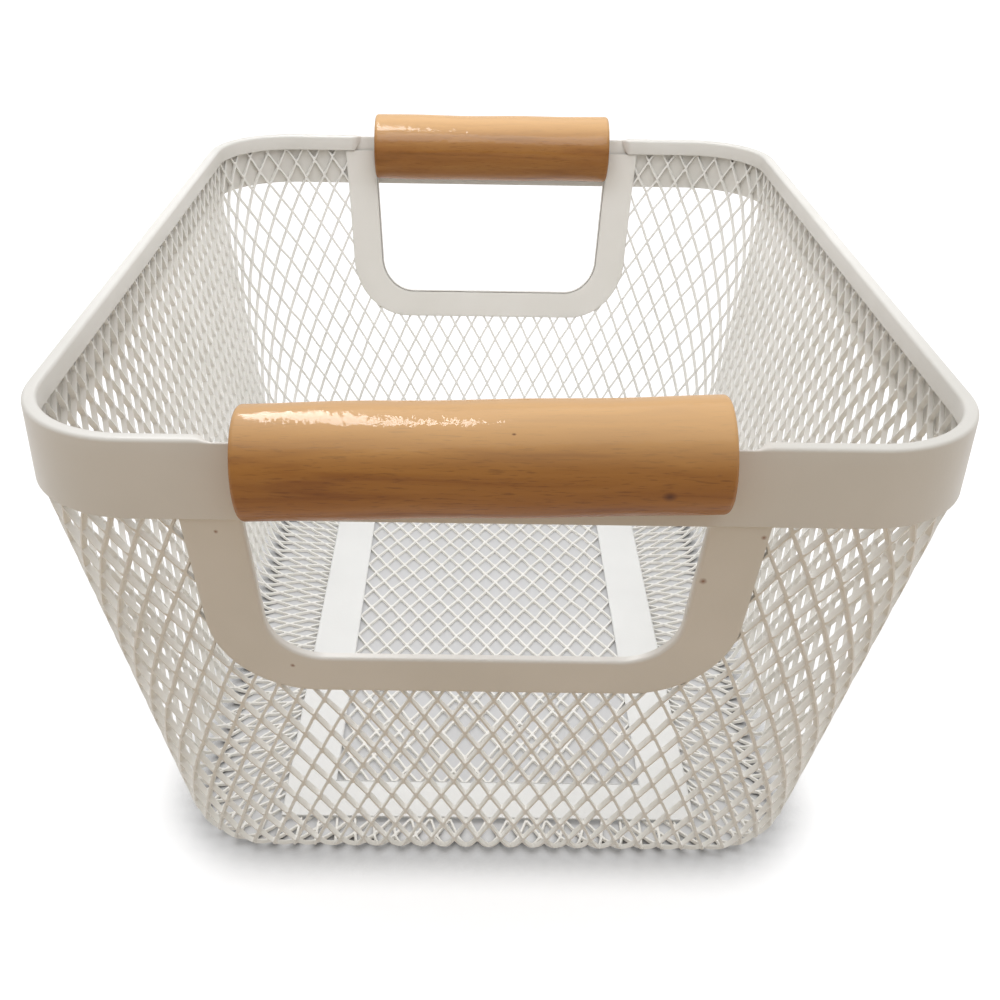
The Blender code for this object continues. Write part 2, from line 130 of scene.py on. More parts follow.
def powder_coat(name, colour, shade, rust_places):
    """Powder coat: sprayed dry and baked, so a satin, faintly orange-peeled, even film.

    It reads as a soft sheen with slight mottling, and rust shows through in pin-head specks.
    A rust place is a point and a radius, and the speck's edge is ragged.
    """
    peel_pitch = 0.0011
    mottle_pitch = 0.030
    ragged_per_metre = 900.0
    material = bpy.data.materials.new(name)
    material.use_nodes = True
    tree = material.node_tree
    shader = tree.nodes["Principled BSDF"]
    shader.inputs["Roughness"].default_value = 0.42
    shader.inputs["IOR"].default_value = 1.5
    place = add_node(tree, "ShaderNodeTexCoord").outputs["Object"]
    mottle = add_node(tree, "ShaderNodeTexNoise", [(place, "Vector")], Scale=1 / mottle_pitch,
                      Detail=3.0)
    coat = add_node(tree, "ShaderNodeValToRGB", [(mottle.outputs["Fac"], "Fac")],
                    stops=[(0.3, shade), (0.7, colour)]).outputs["Color"]
    for x, y, z, radius in rust_places:
        reach = add_node(tree, "ShaderNodeVectorMath", [(place, 0)], operation="DISTANCE")
        reach.inputs[1].default_value = (x, y, z)
        ragged = add_node(tree, "ShaderNodeTexNoise", [(place, "Vector")], Scale=ragged_per_metre,
                          Detail=2.0)
        edge = add_node(tree, "ShaderNodeMath", [(ragged.outputs["Fac"], 0)],
                        operation="MULTIPLY_ADD", at_1=radius, at_2=radius / 2)
        inside = add_node(tree, "ShaderNodeMapRange", [(reach.outputs["Value"], "Value"),
                          (edge.outputs[0], "From Max")], From_Min=0.0, To_Min=1.0, To_Max=0.0)
        blend = add_node(tree, "ShaderNodeMix", [(inside.outputs[0], "Factor"), (coat, "A")],
                         data_type="RGBA")
        blend.inputs["B"].default_value = linear("#8a5a36")
        coat = blend.outputs["Result"]
    tree.links.new(coat, shader.inputs["Base Color"])
    peel = add_node(tree, "ShaderNodeTexNoise", [(place, "Vector")], Scale=1 / peel_pitch,
                    Detail=1.0)
    bump = add_node(tree, "ShaderNodeBump", [(peel.outputs["Fac"], "Height")], Strength=0.12,
                    Distance=0.0002)
    tree.links.new(bump.outputs["Normal"], shader.inputs["Normal"])
    return material


def rim_place(along, level, depth):
    """Place on the band for arrays of places along the loop, levels and depths.

    The loop is split in quarters from the middle of the front towards +X: two fifths of a
    quarter are straight end wall, one fifth is the corner and two fifths are side wall. The
    level runs down from the top edge, and the depth inward from the outer face.
    """
    quarter, part = np.divmod(4 * (along % 1), 1)
    part = np.where(quarter % 2 == 1, 1 - part, part)
    radius = corner_radius - depth
    turn = np.clip((part - end_part) / corner_part, 0, 1) * math.pi / 2
    x = np.clip(part / end_part, 0, 1) * (rim_half_width - corner_radius) + radius * np.sin(turn)
    y = np.clip((1 - part) / end_part, 0, 1) * (rim_half_length - corner_radius)
    y = y + radius * np.cos(turn)
    z = rim_height - level
    x = np.where(quarter < 2, x, -x)
    y = np.where((quarter == 1) | (quarter == 2), y, -y)
    return np.stack(np.broadcast_arrays(x, y, z), -1)


def arc(centre, radius, start_degrees, end_degrees, steps):
    """Points of an arc in (level, depth): at 0 degrees outward in depth, at 90 straight up."""
    turn = np.radians(np.linspace(start_degrees, end_degrees, steps + 1))
    return np.stack([centre[0] - radius * np.sin(turn), centre[1] - radius * np.cos(turn)], -1)


def band_profiles():
    """Two outlines of the band with as many points: with its hem, and pressed flat.

    Each runs up the outer face, over the top and down the inner side, then back to the start.
    """
    over, under = 14, 10
    lip, edge = band_thickness / 2, band_edge
    outer_bend, inner_bend = (hem_bend, hem_bend), (hem_bend, hem_depth - hem_bend)
    face = np.stack([np.linspace(band_height - edge, hem_bend, 6)[:-1], np.zeros(5)], -1)
    hem_end = arc((hem_drop - lip, hem_depth - lip), lip, 180, 360, 4)
    hem = np.concatenate([face, arc(outer_bend, hem_bend, 0, 90, over // 2 - 1),
                          arc(inner_bend, hem_bend, 90, 180, over // 2), hem_end,
                          arc(inner_bend, hem_bend - band_thickness, 180, 90, under // 2 - 1),
                          arc(outer_bend, hem_bend - band_thickness, 90, 0, under // 2)])
    round_over = arc((flat_drop + lip, lip), lip, 0, 180, over)
    inner = np.stack([np.full(5, flat_drop + 2 * lip), np.full(5, band_thickness)], -1)
    inner_run = np.stack([np.linspace(flat_drop + 2 * lip, flat_drop + 4 * lip, under + 1),
                          np.full(under + 1, band_thickness)], -1)
    flat = np.concatenate([face, round_over, inner, inner_run])
    foot = np.array([(band_height - edge, band_thickness), (band_height, band_thickness - edge),
                     (band_height, edge)])
    return np.concatenate([hem, foot]), np.concatenate([flat, foot])


def band_stations():
    """Places along the loop, close together at the corners and the hem's ends, and how flat."""
    end_steps, corner_steps, side_steps = 60, 22, 10
    straight = rim_half_width - corner_radius
    side_from = end_part + corner_part
    part = np.concatenate([np.linspace(0, end_part, end_steps)[:-1],
                           np.linspace(end_part, side_from, corner_steps)[:-1],
                           np.linspace(side_from, 1, side_steps)[:-1]])
    back = np.concatenate([np.linspace(1, side_from, side_steps)[:-1],
                           np.linspace(side_from, end_part, corner_steps)[:-1],
                           np.linspace(end_part, 0, end_steps)[:-1]])
    along = np.concatenate([part / 4, 0.5 - back / 4, 0.5 + part / 4, 1 - back / 4])
    spot = rim_place(along, 0 * along, 0)
    on_end = np.abs(spot[:, 0]) < straight
    side = np.where(spot[:, 1] < 0, -1, 1)
    length = np.where(side < 0, grip_lengths[-1], grip_lengths[1])
    shift = np.where(side < 0, grip_shifts[-1], grip_shifts[1])
    past = (np.abs(spot[:, 0] - shift) - length / 2 - hem_end_gap) / hem_end_run
    flat = np.where(on_end, 1 - np.clip(past, 0, 1), 0)
    return along, flat * flat * (3 - 2 * flat)


def make_rim(coat):
    """Band swept round the loop: each station blends the hemmed and the flat outline."""
    hemmed, pressed = band_profiles()
    along, flat = band_stations()
    outline = hemmed[None] * (1 - flat[:, None, None]) + pressed[None] * flat[:, None, None]
    points = rim_place(along[:, None], outline[..., 0], outline[..., 1])
    faces = [face[::-1] for face in grid_faces(len(along), len(hemmed), True, True)]
    piece = add_piece("rim_hemmed_band", points.reshape(-1, 3), faces, coat)
    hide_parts("rim_band")


band_rust = [(-0.100, -0.155, 0.150, 0.0002)]
make_rim(powder_coat("powder_coat_sheet", "#e2dfd9", "#dcd9d2", band_rust))


# Mesh walls: one sheet of steel slit and stretched into diamonds, bent into a loop, cut out at
# the hand openings and turned in under the base frame. Each strand is a flat-sided ribbon,
# and two strands share a short bond where they cross.
wall_slope_share = 0.157
bend_radius = 0.008
bottom_radius = 0.010
mesh_depth = 0.0012
strand_width = 0.0010
flat_depth = 0.00115
free_depth = 0.0018
strand_chamfer = 0.00018
free_run = 0.010
bond_stretch = 1.25
bond_reach = 0.19
stub_reach = 0.17
least_stub = 0.3
wall_columns = 120
row_rise = 0.0075
rows_above_rim = 4
wall_rows = 34
least_corner_radius = 0.002
corner_droop = 0.018
droop_start_share = 0.15
droop_end_share = 0.70
hem_cover = 0.0035
frame_strip = 0.017
plate_leg_width = 0.0158
plate_bottom_width = 0.0128
opening_half_width = 0.060
opening_drop = 0.073
opening_corner_radius = 0.016
plate_lean_share = 0.06
plate_shifts = {-1: -0.006, 1: 0.0}
width_shares = {-1: 1.0, 1: 0.905}
unevenness = 0.00015

frame_low, frame_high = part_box("base_frame")
seam_half_width = frame_high.x - frame_strip / 2
seam_half_length = frame_high.y - frame_strip / 2
lean = math.atan(wall_slope_share)
bend_end = band_height + bend_radius * lean
bend_drop = band_height + (bend_radius - mesh_depth) * math.sin(lean)
bend_inset = bend_radius - (bend_radius - mesh_depth) * math.cos(lean)
curve_top = bottom_radius * (1 - math.sin(lean))
curve_start = bend_end + (rim_height - bend_drop - curve_top) / math.cos(lean)
curve_turn = math.pi / 2 - lean
curve_end = curve_start + bottom_radius * curve_turn
curve_inset = bend_inset + (curve_start - bend_end) * math.sin(lean)
curve_inset += bottom_radius * math.cos(lean)


def wall_profile(level, depth):
    """Inset from the rim's outside and drop below its top edge, for arrays of levels and depths.

    The wall is upright down to the band's lower edge, turns on the bend's arc there, and then
    leans inward.
    """
    turn = np.clip((level - band_height) / bend_radius, 0, lean)
    run = np.maximum(level - bend_end, 0)
    inset = bend_radius - (bend_radius - depth) * np.cos(turn) + run * math.sin(lean)
    drop = np.minimum(level, band_height) + (bend_radius - depth) * np.sin(turn)
    return inset, drop + run * math.cos(lean)


def sheet_place(share, level, inner):
    """Place on the wall sheet for arrays of shares of the loop, levels and inner depths.

    The share is of the loop's length from the middle of the front towards +X. Below the wall
    the sheet turns in on an arc, then runs in along the floor, as far on each side.
    """
    turn = lean + np.clip((level - curve_start) / bottom_radius, 0, curve_turn)
    on_wall = level < curve_start
    reach = (bottom_radius - inner) * np.cos(turn)
    run = np.maximum(level - curve_end, 0)
    wall_inset, wall_drop = wall_profile(level, mesh_depth + inner)
    inset = np.where(on_wall, wall_inset, curve_inset - reach + run)
    slope_inset = np.clip(level - bend_end, 0, curve_start - bend_end) * math.sin(lean)
    radius = np.maximum(corner_radius - (inset - slope_inset), least_corner_radius)
    curve_height = bottom_radius - (bottom_radius - inner) * np.sin(turn)
    height = np.where(on_wall, rim_height - wall_drop, curve_height)
    half_width, half_length = rim_half_width - inset, rim_half_length - inset
    quarter, part = np.divmod(4 * (share % 1), 1)
    part = np.where(quarter % 2 == 1, 1 - part, part)
    along = part * (half_width + half_length - (2 - math.pi / 2) * radius)
    straight = half_width - radius
    corner = np.clip((along - straight) / radius, 0, math.pi / 2)
    x = np.minimum(along, straight) + radius * np.sin(corner)
    past = np.maximum(along - straight - radius * math.pi / 2, 0)
    y = half_length - radius + radius * np.cos(corner) - past
    x = np.where(quarter < 2, x, -x)
    y = np.where((quarter == 1) | (quarter == 2), y, -y)
    return np.stack(np.broadcast_arrays(x, y, height), -1)


def off_plates(spot, level):
    """Distance outside the middle line of a hand plate's U, and less than zero within it."""
    side = np.where(spot[..., 1] < 0, -1, 1)
    shift = np.where(side < 0, plate_shifts[-1], plate_shifts[1])
    width = np.where(side < 0, width_shares[-1], width_shares[1])
    across = np.abs(spot[..., 0] - shift) / width
    drop = opening_drop + plate_bottom_width / 2
    radius = opening_corner_radius + plate_bottom_width / 2
    half = opening_half_width + plate_leg_width / 2
    corner_level = drop - radius
    corner_across = half - plate_lean_share * corner_level - radius
    straight = np.maximum(across - half + plate_lean_share * level, level - drop)
    rounded = np.hypot(across - corner_across, level - corner_level) - radius
    off = np.where((level > corner_level) & (across > corner_across), rounded, straight)
    return np.where(np.abs(spot[..., 1]) > rim_half_length / 2, off, rim_half_length)


def off_walls(share, level):
    """Whether the sheet is cut away: above the hem's cover, at an opening or past the seam."""
    spot = sheet_place(share, level, 0)
    past_seam = (np.abs(spot[..., 0]) < seam_half_width) & (np.abs(spot[..., 1]) < seam_half_length)
    return (level < hem_cover) | (past_seam & (level > curve_end)) | (off_plates(spot, level) < 0)


def wall_half_depth(share, level):
    """Half a strand's depth: a straight ramp from its pressed to its free depth.

    The stretched strands stand on edge, but they are pressed flat in the hem, between the
    hand plates and under the base frame.
    """
    clear = off_plates(sheet_place(share, level, 0), level) - plate_leg_width / 2
    clear = np.minimum(np.minimum(clear, level - hem_drop), (curve_end - level) / 2)
    return (flat_depth + (free_depth - flat_depth) * np.clip(clear / free_run, 0, 1)) / 2


def droop(share):
    """How far the rows sag towards the corners: a smooth step along each quarter."""
    quarter, part = np.divmod(4 * (share % 1), 1)
    part = np.where(quarter % 2 == 1, 1 - part, part)
    step = np.clip((part - droop_start_share) / (droop_end_share - droop_start_share), 0, 1)
    return corner_droop * step * step * (3 - 2 * step)


def unit(vectors):
    """Vectors brought to length one."""
    return vectors / np.maximum(np.linalg.norm(vectors, axis=-1, keepdims=True), 1e-12)


def neighbours(lattice, wrap):
    """The places up right, down right, down left and up left of every place of a lattice."""
    moved = []
    for side, step in ((1, -1), (1, 1), (-1, 1), (-1, -1)):
        other = np.roll(lattice, (-step, -side), (0, 1))
        edge = -1 if side > 0 else 0
        other[:, edge] = other[:, edge] + side * wrap
        moved.append(other)
    return np.stack(moved, 2)


def strand_cuts(places, ends, off):
    """Share of each strand that is left where its far end is off the sheet, by halving."""
    kept, lost = np.zeros(len(places)), np.ones(len(places))
    for _ in range(14):
        middle = (kept + lost) / 2
        spot = places + (ends - places) * middle[:, None]
        cut = off(spot[:, 0], spot[:, 1])
        lost = np.where(cut, middle, lost)
        kept = np.where(cut, kept, middle)
    return np.where(kept < least_stub, 0, kept)


def net_geometry(lattice, use, part, wrap, off, lift, half_depth):
    """Points and faces of a net of ribbons laid on a sheet.

    lattice holds the sheet places of a grid whose every other point is a crossing, use says
    which crossings the sheet has, and part which of them this piece has. A crossing is a
    diamond of four corners (top, right, bottom, left) in three layers (front, middle, back).
    A strand is a tube of six sides between the edges of two diamonds, and it stops halfway
    where the next crossing is another piece's.
    """
    nudge, look_ahead = 1e-4, 0.02
    rows, columns = np.nonzero(use & part)
    number = np.full(use.shape, -1)
    number[rows, columns] = np.arange(len(rows))
    places = lattice[rows, columns]
    ends = neighbours(lattice, np.array([wrap, 0.0]))[rows, columns]
    others = neighbours(number[..., None], 0)[rows, columns, :, 0]
    elsewhere = neighbours(use[..., None].astype(int), 0)[rows, columns, :, 0] * (others < 0)
    corner_of = lift(ends[..., 0], ends[..., 1], half_depth(ends[..., 0], ends[..., 1]))
    half = half_depth(places[:, 0], places[:, 1])
    centre = lift(places[:, 0], places[:, 1], half)
    right = unit(corner_of[:, 1] - corner_of[:, 2])
    down = unit(corner_of[:, 1] - corner_of[:, 0])
    normal = unit(np.cross(down, right))
    pitch = np.linalg.norm(corner_of[:, 1] - corner_of[:, 2], axis=-1, keepdims=True)
    rise = np.linalg.norm(corner_of[:, 1] - corner_of[:, 0], axis=-1, keepdims=True)
    strand = np.hypot(pitch, rise)
    half_across = strand_width * strand / (2 * rise)
    half_down = bond_stretch * strand_width * strand / (2 * pitch)
    drop, aside = down * half_down, right * half_across
    towards = np.stack([-drop, aside, drop, -aside], 1)
    inner = towards * (1 - strand_chamfer / np.linalg.norm(towards, axis=-1, keepdims=True))
    front = (normal * half[:, None])[:, None]
    layers = np.stack([inner + front, towards, inner - front], 2)
    points = [(centre[:, None, None] + layers).reshape(-1, 3)]
    total = len(places) * 12
    index = np.arange(len(places))

    def end_ring(crossing, first, second):
        """The six points of the edge between two corners of a crossing."""
        ahead, behind = crossing * 12 + first * 3, crossing * 12 + second * 3
        return np.stack([ahead, ahead + 1, ahead + 2, behind + 2, behind + 1, behind], -1)

    quads = [np.stack([index * 12 + 3 * k for k in (3, 2, 1, 0)], -1),
             np.stack([index * 12 + 3 * k + 2 for k in range(4)], -1)]
    caps = []
    for edge in range(4):
        cut = strand_cuts(places, ends[:, edge], off)
        cut = np.where(elsewhere[:, edge] > 0, 0.5, cut)
        joined = others[:, edge] >= 0
        bare = ~joined & (cut == 0)
        caps.append(end_ring(index[bare], edge, (edge + 1) % 4)[:, ::-1])
        loose = ~joined & (cut > 0)
        # A strand between two crossings is made once, from the upper one
        joined = joined & (edge in (1, 2))
        whole_end = np.full(joined.sum(), 1 - bond_reach)
        for pick, first, last, whole in ((index[joined], bond_reach, whole_end, True),
                                         (index[loose], stub_reach, cut[loose], False)):
            stations = first + (last[:, None] - first) * np.array([0, 0.5, 1])
            begin, step = places[pick][:, None], (ends[pick, edge] - places[pick])[:, None]
            spots = begin + step * stations[..., None]
            ahead = begin + step * (stations[..., None] + look_ahead)
            half = half_depth(spots[..., 0], spots[..., 1])
            middle = lift(spots[..., 0], spots[..., 1], half)
            facing = unit(lift(spots[..., 0], spots[..., 1], half - nudge) - middle)
            heading = unit(lift(ahead[..., 0], ahead[..., 1], half) - middle)
            beside = np.cross(facing, heading)
            wide, narrow = strand_width / 2, strand_width / 2 - strand_chamfer
            rings = np.stack([middle + beside * a + facing * half[..., None] * b for a, b in (
                (narrow, 1), (wide, 0), (narrow, -1), (-narrow, -1), (-wide, 0), (-narrow, 1))], 2)
            numbers = total + np.arange(rings.size // 3).reshape(rings.shape[:3])
            points.append(rings.reshape(-1, 3))
            total += rings.size // 3
            chain = [end_ring(pick, edge, (edge + 1) % 4)] + [numbers[:, k] for k in range(3)]
            if whole:
                chain.append(end_ring(others[pick, edge], (edge + 3) % 4, (edge + 2) % 4))
            else:
                caps.append(numbers[:, 2][:, ::-1])
            for start, following in zip(chain, chain[1:]):
                for k in range(6):
                    m = (k + 1) % 6
                    quads.append(np.stack([start[:, k], following[:, k],
                                           following[:, m], start[:, m]], -1))
    faces = np.concatenate(quads).tolist() + np.concatenate(caps).tolist()
    return np.concatenate(points), faces


def make_walls(coat):
    """The wall net in two pieces, front and back, cut from one lattice.

    Its lowest strands are pressed flat where they would dip below the floor.
    """
    rng = np.random.default_rng(3)
    columns = 2 * wall_columns
    row = np.arange(wall_rows)[:, None] - rows_above_rim
    share = np.broadcast_to(np.arange(columns)[None] / columns, (wall_rows, columns))
    loop = 4 * (rim_half_width + rim_half_length)
    level = row * row_rise + droop(share)
    jitter = rng.normal(0, unevenness, (wall_rows, columns, 2))
    lattice = np.stack([share + jitter[..., 0] / loop, level + jitter[..., 1]], -1)
    crossing = (np.arange(wall_rows)[:, None] + np.arange(columns)[None]) % 2 == 0
    use = crossing & ~off_walls(lattice[..., 0], lattice[..., 1])
    front = (share < 0.25) | (share >= 0.75)
    for name, part in (("wall_mesh_front", front), ("wall_mesh_back", ~front)):
        points, faces = net_geometry(lattice, use, part, 1, off_walls, sheet_place, wall_half_depth)
        points[:, 2] = np.maximum(points[:, 2], 0)
        piece = add_piece(name, points, faces, coat, 50)
        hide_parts("mesh_wall")


# The mesh takes a lighter copy of the powder coat that the band and plates wear: painted light that
# brightens the strands.
mesh_coat = powder_coat("powder_coat_mesh", "#efede8", "#e8e6e0", [])
make_walls(mesh_coat)


# Floor mesh: a flat piece of the same stretched steel, its long diamonds running front to
# back. Its edges lie under the base frame, which is spot welded down over the seam.
floor_half_pitch = 0.0041
floor_half_rise = 0.0066
seam_gap = 0.001


def off_floor(x, y):
    """Whether a place is past the floor sheet's edge."""
    return (np.abs(x) > seam_half_width - seam_gap) | (np.abs(y) > seam_half_length - seam_gap)


def floor_place(x, y, inner):
    """Place on the floor sheet, its outer face down."""
    return np.stack(np.broadcast_arrays(x, y, inner), -1)


def floor_half_depth(x, y):
    """Half a strand's depth, the same all over the floor."""
    return np.full(np.shape(x), flat_depth / 2)


def make_floor_mesh(coat):
    """The floor net on a plain lattice, a little uneven."""
    rng = np.random.default_rng(5)
    columns = 2 * math.ceil(seam_half_width / floor_half_pitch) + 5
    rows = 2 * math.ceil(seam_half_length / floor_half_rise) + 5
    x = (np.arange(columns) - columns // 2)[None] * floor_half_pitch
    y = (np.arange(rows) - rows // 2)[:, None] * floor_half_rise
    lattice = np.stack(np.broadcast_arrays(x, y), -1)
    lattice = lattice + rng.normal(0, unevenness, (rows, columns, 2))
    crossing = (np.arange(rows)[:, None] + np.arange(columns)[None]) % 2 == 0
    use = crossing & ~off_floor(lattice[..., 0], lattice[..., 1])
    points, faces = net_geometry(lattice, use, crossing, 0, off_floor, floor_place,
                                 floor_half_depth)
    piece = add_piece("floor_mesh", points, faces, coat, 50)
    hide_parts("mesh_floor")


make_floor_mesh(mesh_coat)


# Hand plates: at each end two U-shaped stampings of sheet steel clamp the cut edge of the
# mesh round the hand opening. The outer one has a flange turned in round the opening, and
# the inner one backs it from inside. They are spot welded through the mesh, then coated.
plate_thickness = 0.00045
plate_edge = 0.00015
flange_bend = 0.0010
outer_plate_depth = 0.00072
inner_plate_depth = 0.0024
stack_depth = 0.0032
plate_gap = 0.0003


def end_place(across, level, depth, side):
    """Place on an end wall from places across it, down it and inward."""
    inset, drop = wall_profile(level, depth)
    y = side * (rim_half_length - inset)
    return np.stack(np.broadcast_arrays(across, y, rim_height - drop), -1)


def u_path(half_width, drop, radius, top):
    """Arrays (across, level) down one leg, round the bottom and up the other leg of a U."""
    corner_level = drop - radius
    corner_across = half_width - plate_lean_share * corner_level - radius
    turn = np.linspace(0, math.pi / 2, 20)
    leg = np.linspace(top, corner_level, 24)[:-1]
    right = np.concatenate([
        np.stack([half_width - plate_lean_share * leg, leg], -1),
        np.stack([corner_across + radius * np.cos(turn),
                  corner_level + radius * np.sin(turn)], -1)])
    bottom = np.linspace(corner_across, -corner_across, 30)[1:-1]
    bottom = np.stack([bottom, np.full(len(bottom), drop)], -1)
    return np.concatenate([right, bottom, right[::-1] * (-1, 1)])


def make_plate(name, node, side, top, outline, coat):
    """Plate swept along its U: each outline point is a share across it, an offset and a depth."""
    inner = u_path(opening_half_width, opening_drop, opening_corner_radius, top)
    outer = u_path(opening_half_width + plate_leg_width, opening_drop + plate_bottom_width,
                   opening_corner_radius + plate_bottom_width, top)
    outward = unit(outer - inner)
    share, offset, depth = (np.array(column)[None, :, None] for column in zip(*outline))
    flat = inner[:, None] + (outer - inner)[:, None] * share + outward[:, None] * offset
    across = flat[..., 0] * width_shares[side] + plate_shifts[side]
    points = end_place(across, flat[..., 1], depth[..., 0], side)
    rows, columns = points.shape[:2]
    faces = grid_faces(rows, columns, False, True)
    faces += [list(range(columns))[::-1], list(range((rows - 1) * columns, rows * columns))]
    if side > 0:
        faces = [face[::-1] for face in faces]
    piece = add_piece(name, points.reshape(-1, 3), faces, coat)
    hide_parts(node)


def edge_turn(front):
    """Outline points round a plate's outer edge, from its front face to its rear face."""
    radius = plate_thickness / 2
    turns = np.radians(np.linspace(-75, 75, 5))
    return [(1, radius * (math.cos(t) - 1), front + radius + radius * math.sin(t)) for t in turns]


def outer_outline():
    """Outer plate's outline: face, bend round the opening, flange, and back."""
    front, back = outer_plate_depth, outer_plate_depth + plate_thickness
    turns = np.radians(np.linspace(0, 90, 7))
    bend = [(0, flange_bend * (1 - math.sin(t)), front + flange_bend * (1 - math.cos(t)))
            for t in turns]
    small = flange_bend - plate_thickness
    under = [(0, flange_bend - small * math.sin(t), back + small * (1 - math.cos(t)))
             for t in turns[::-1]]
    tip = [(0, 0.0, stack_depth - plate_edge), (0, plate_edge, stack_depth),
           (0, plate_thickness - plate_edge, stack_depth),
           (0, plate_thickness, stack_depth - plate_edge)]
    face = [(share, 0.0, front) for share in (0.9, 0.7, 0.5, 0.3)]
    rear = [(share, 0.0, back) for share in (0.3, 0.5, 0.7, 0.9)]
    return edge_turn(front)[::-1] + face + bend + tip + under + rear


def inner_outline():
    """Inner plate's outline, set back from the opening by the flange."""
    set_back = plate_thickness + plate_gap
    front = inner_plate_depth
    opening_edge = [(0, set_back - offset, depth) for _, offset, depth in edge_turn(front)]
    face = [(share, 0.0, front) for share in (0.9, 0.7, 0.5, 0.3, 0.15)]
    rear = [(share, 0.0, front + plate_thickness) for share in (0.15, 0.3, 0.5, 0.7, 0.9)]
    return edge_turn(front)[::-1] + face + opening_edge + rear


# Rust specks: place across the end wall, place down it and radius
rust_specks = [(0.0535, 0.0416, 0.0012), (-0.0563, 0.0758, 0.0008), (-0.0716, 0.0268, 0.0007),
               (0.0668, 0.0263, 0.0009)]
specks = [(*end_place(across, level, outer_plate_depth, -1).tolist(), radius)
          for across, level, radius in rust_specks]
plate_coat = powder_coat("powder_coat_plates", "#e8e5df", "#e2dfd8", specks)
for side, label in ((-1, "front"), (1, "back")):
    make_plate(label + "_hand_plate", label + "_plate_outer", side, hem_bend + plate_gap,
               outer_outline(), plate_coat)
    make_plate(label + "_backing_plate", label + "_plate_inner", side, hem_drop + plate_gap,
               inner_outline(), plate_coat)


# Base frame: a flat ring of steel strip that lies on the floor inside, over the seam of the
# wall and floor sheets. Its corners are mitred and welded, and its coat is a cooler white than
# the sheet's: painted light that stands in for the cool light from above.
frame_edge = 0.0003


def make_base_frame(coat):
    """Rectangular ring with a rounded outline in section, carried round the four corners."""
    low, high = frame_low.z, frame_high.z
    turns = np.radians(np.linspace(0, 90, 4))
    soft = [(frame_edge * (1 - math.sin(t)), frame_edge * (1 - math.cos(t))) for t in turns]
    section = [(o, high - d) for o, d in soft]
    section += [(frame_strip - o, high - d) for o, d in soft[::-1]]
    section += [(frame_strip - o, low + d) for o, d in soft]
    section += [(o, low + d) for o, d in soft[::-1]]
    inset, height = np.array(section).T
    steps = np.linspace(0, 1, 24)[:-1, None]
    corners = np.array([(-1, -1), (1, -1), (1, 1), (-1, 1)])
    ring = np.concatenate([corner + (following - corner) * steps
                           for corner, following in zip(corners, np.roll(corners, -1, 0))])
    across = (frame_high.x - inset) * ring[:, :1]
    along = (frame_high.y - inset) * ring[:, 1:]
    points = np.stack(np.broadcast_arrays(across, along, height), -1)
    faces = [face[::-1] for face in grid_faces(len(points), len(section), True, True)]
    piece = add_piece("base_frame_strip", points.reshape(-1, 3), faces, coat)
    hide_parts("base_frame")


make_base_frame(powder_coat("powder_coat_strip", "#e6e6e4", "#e1e1df", []))


# Grips: turned hardwood under clear gloss varnish, sawn with a groove along the underside
# and pushed down astride the rim and its plates. The front one has worked a little out of
# level.
grip_radius = 0.01448
grip_drop = 0.005
grip_end_radius = 0.0014
grip_tilts = {-1: math.radians(2.0), 1: 0.0}
grip_depth = 0.00185
groove_half_width = 0.00215
groove_play = 0.0003
turning_wave = 0.00012
wave_per_metre = 140
lobe_count = 3
lobe_twist_per_metre = 60


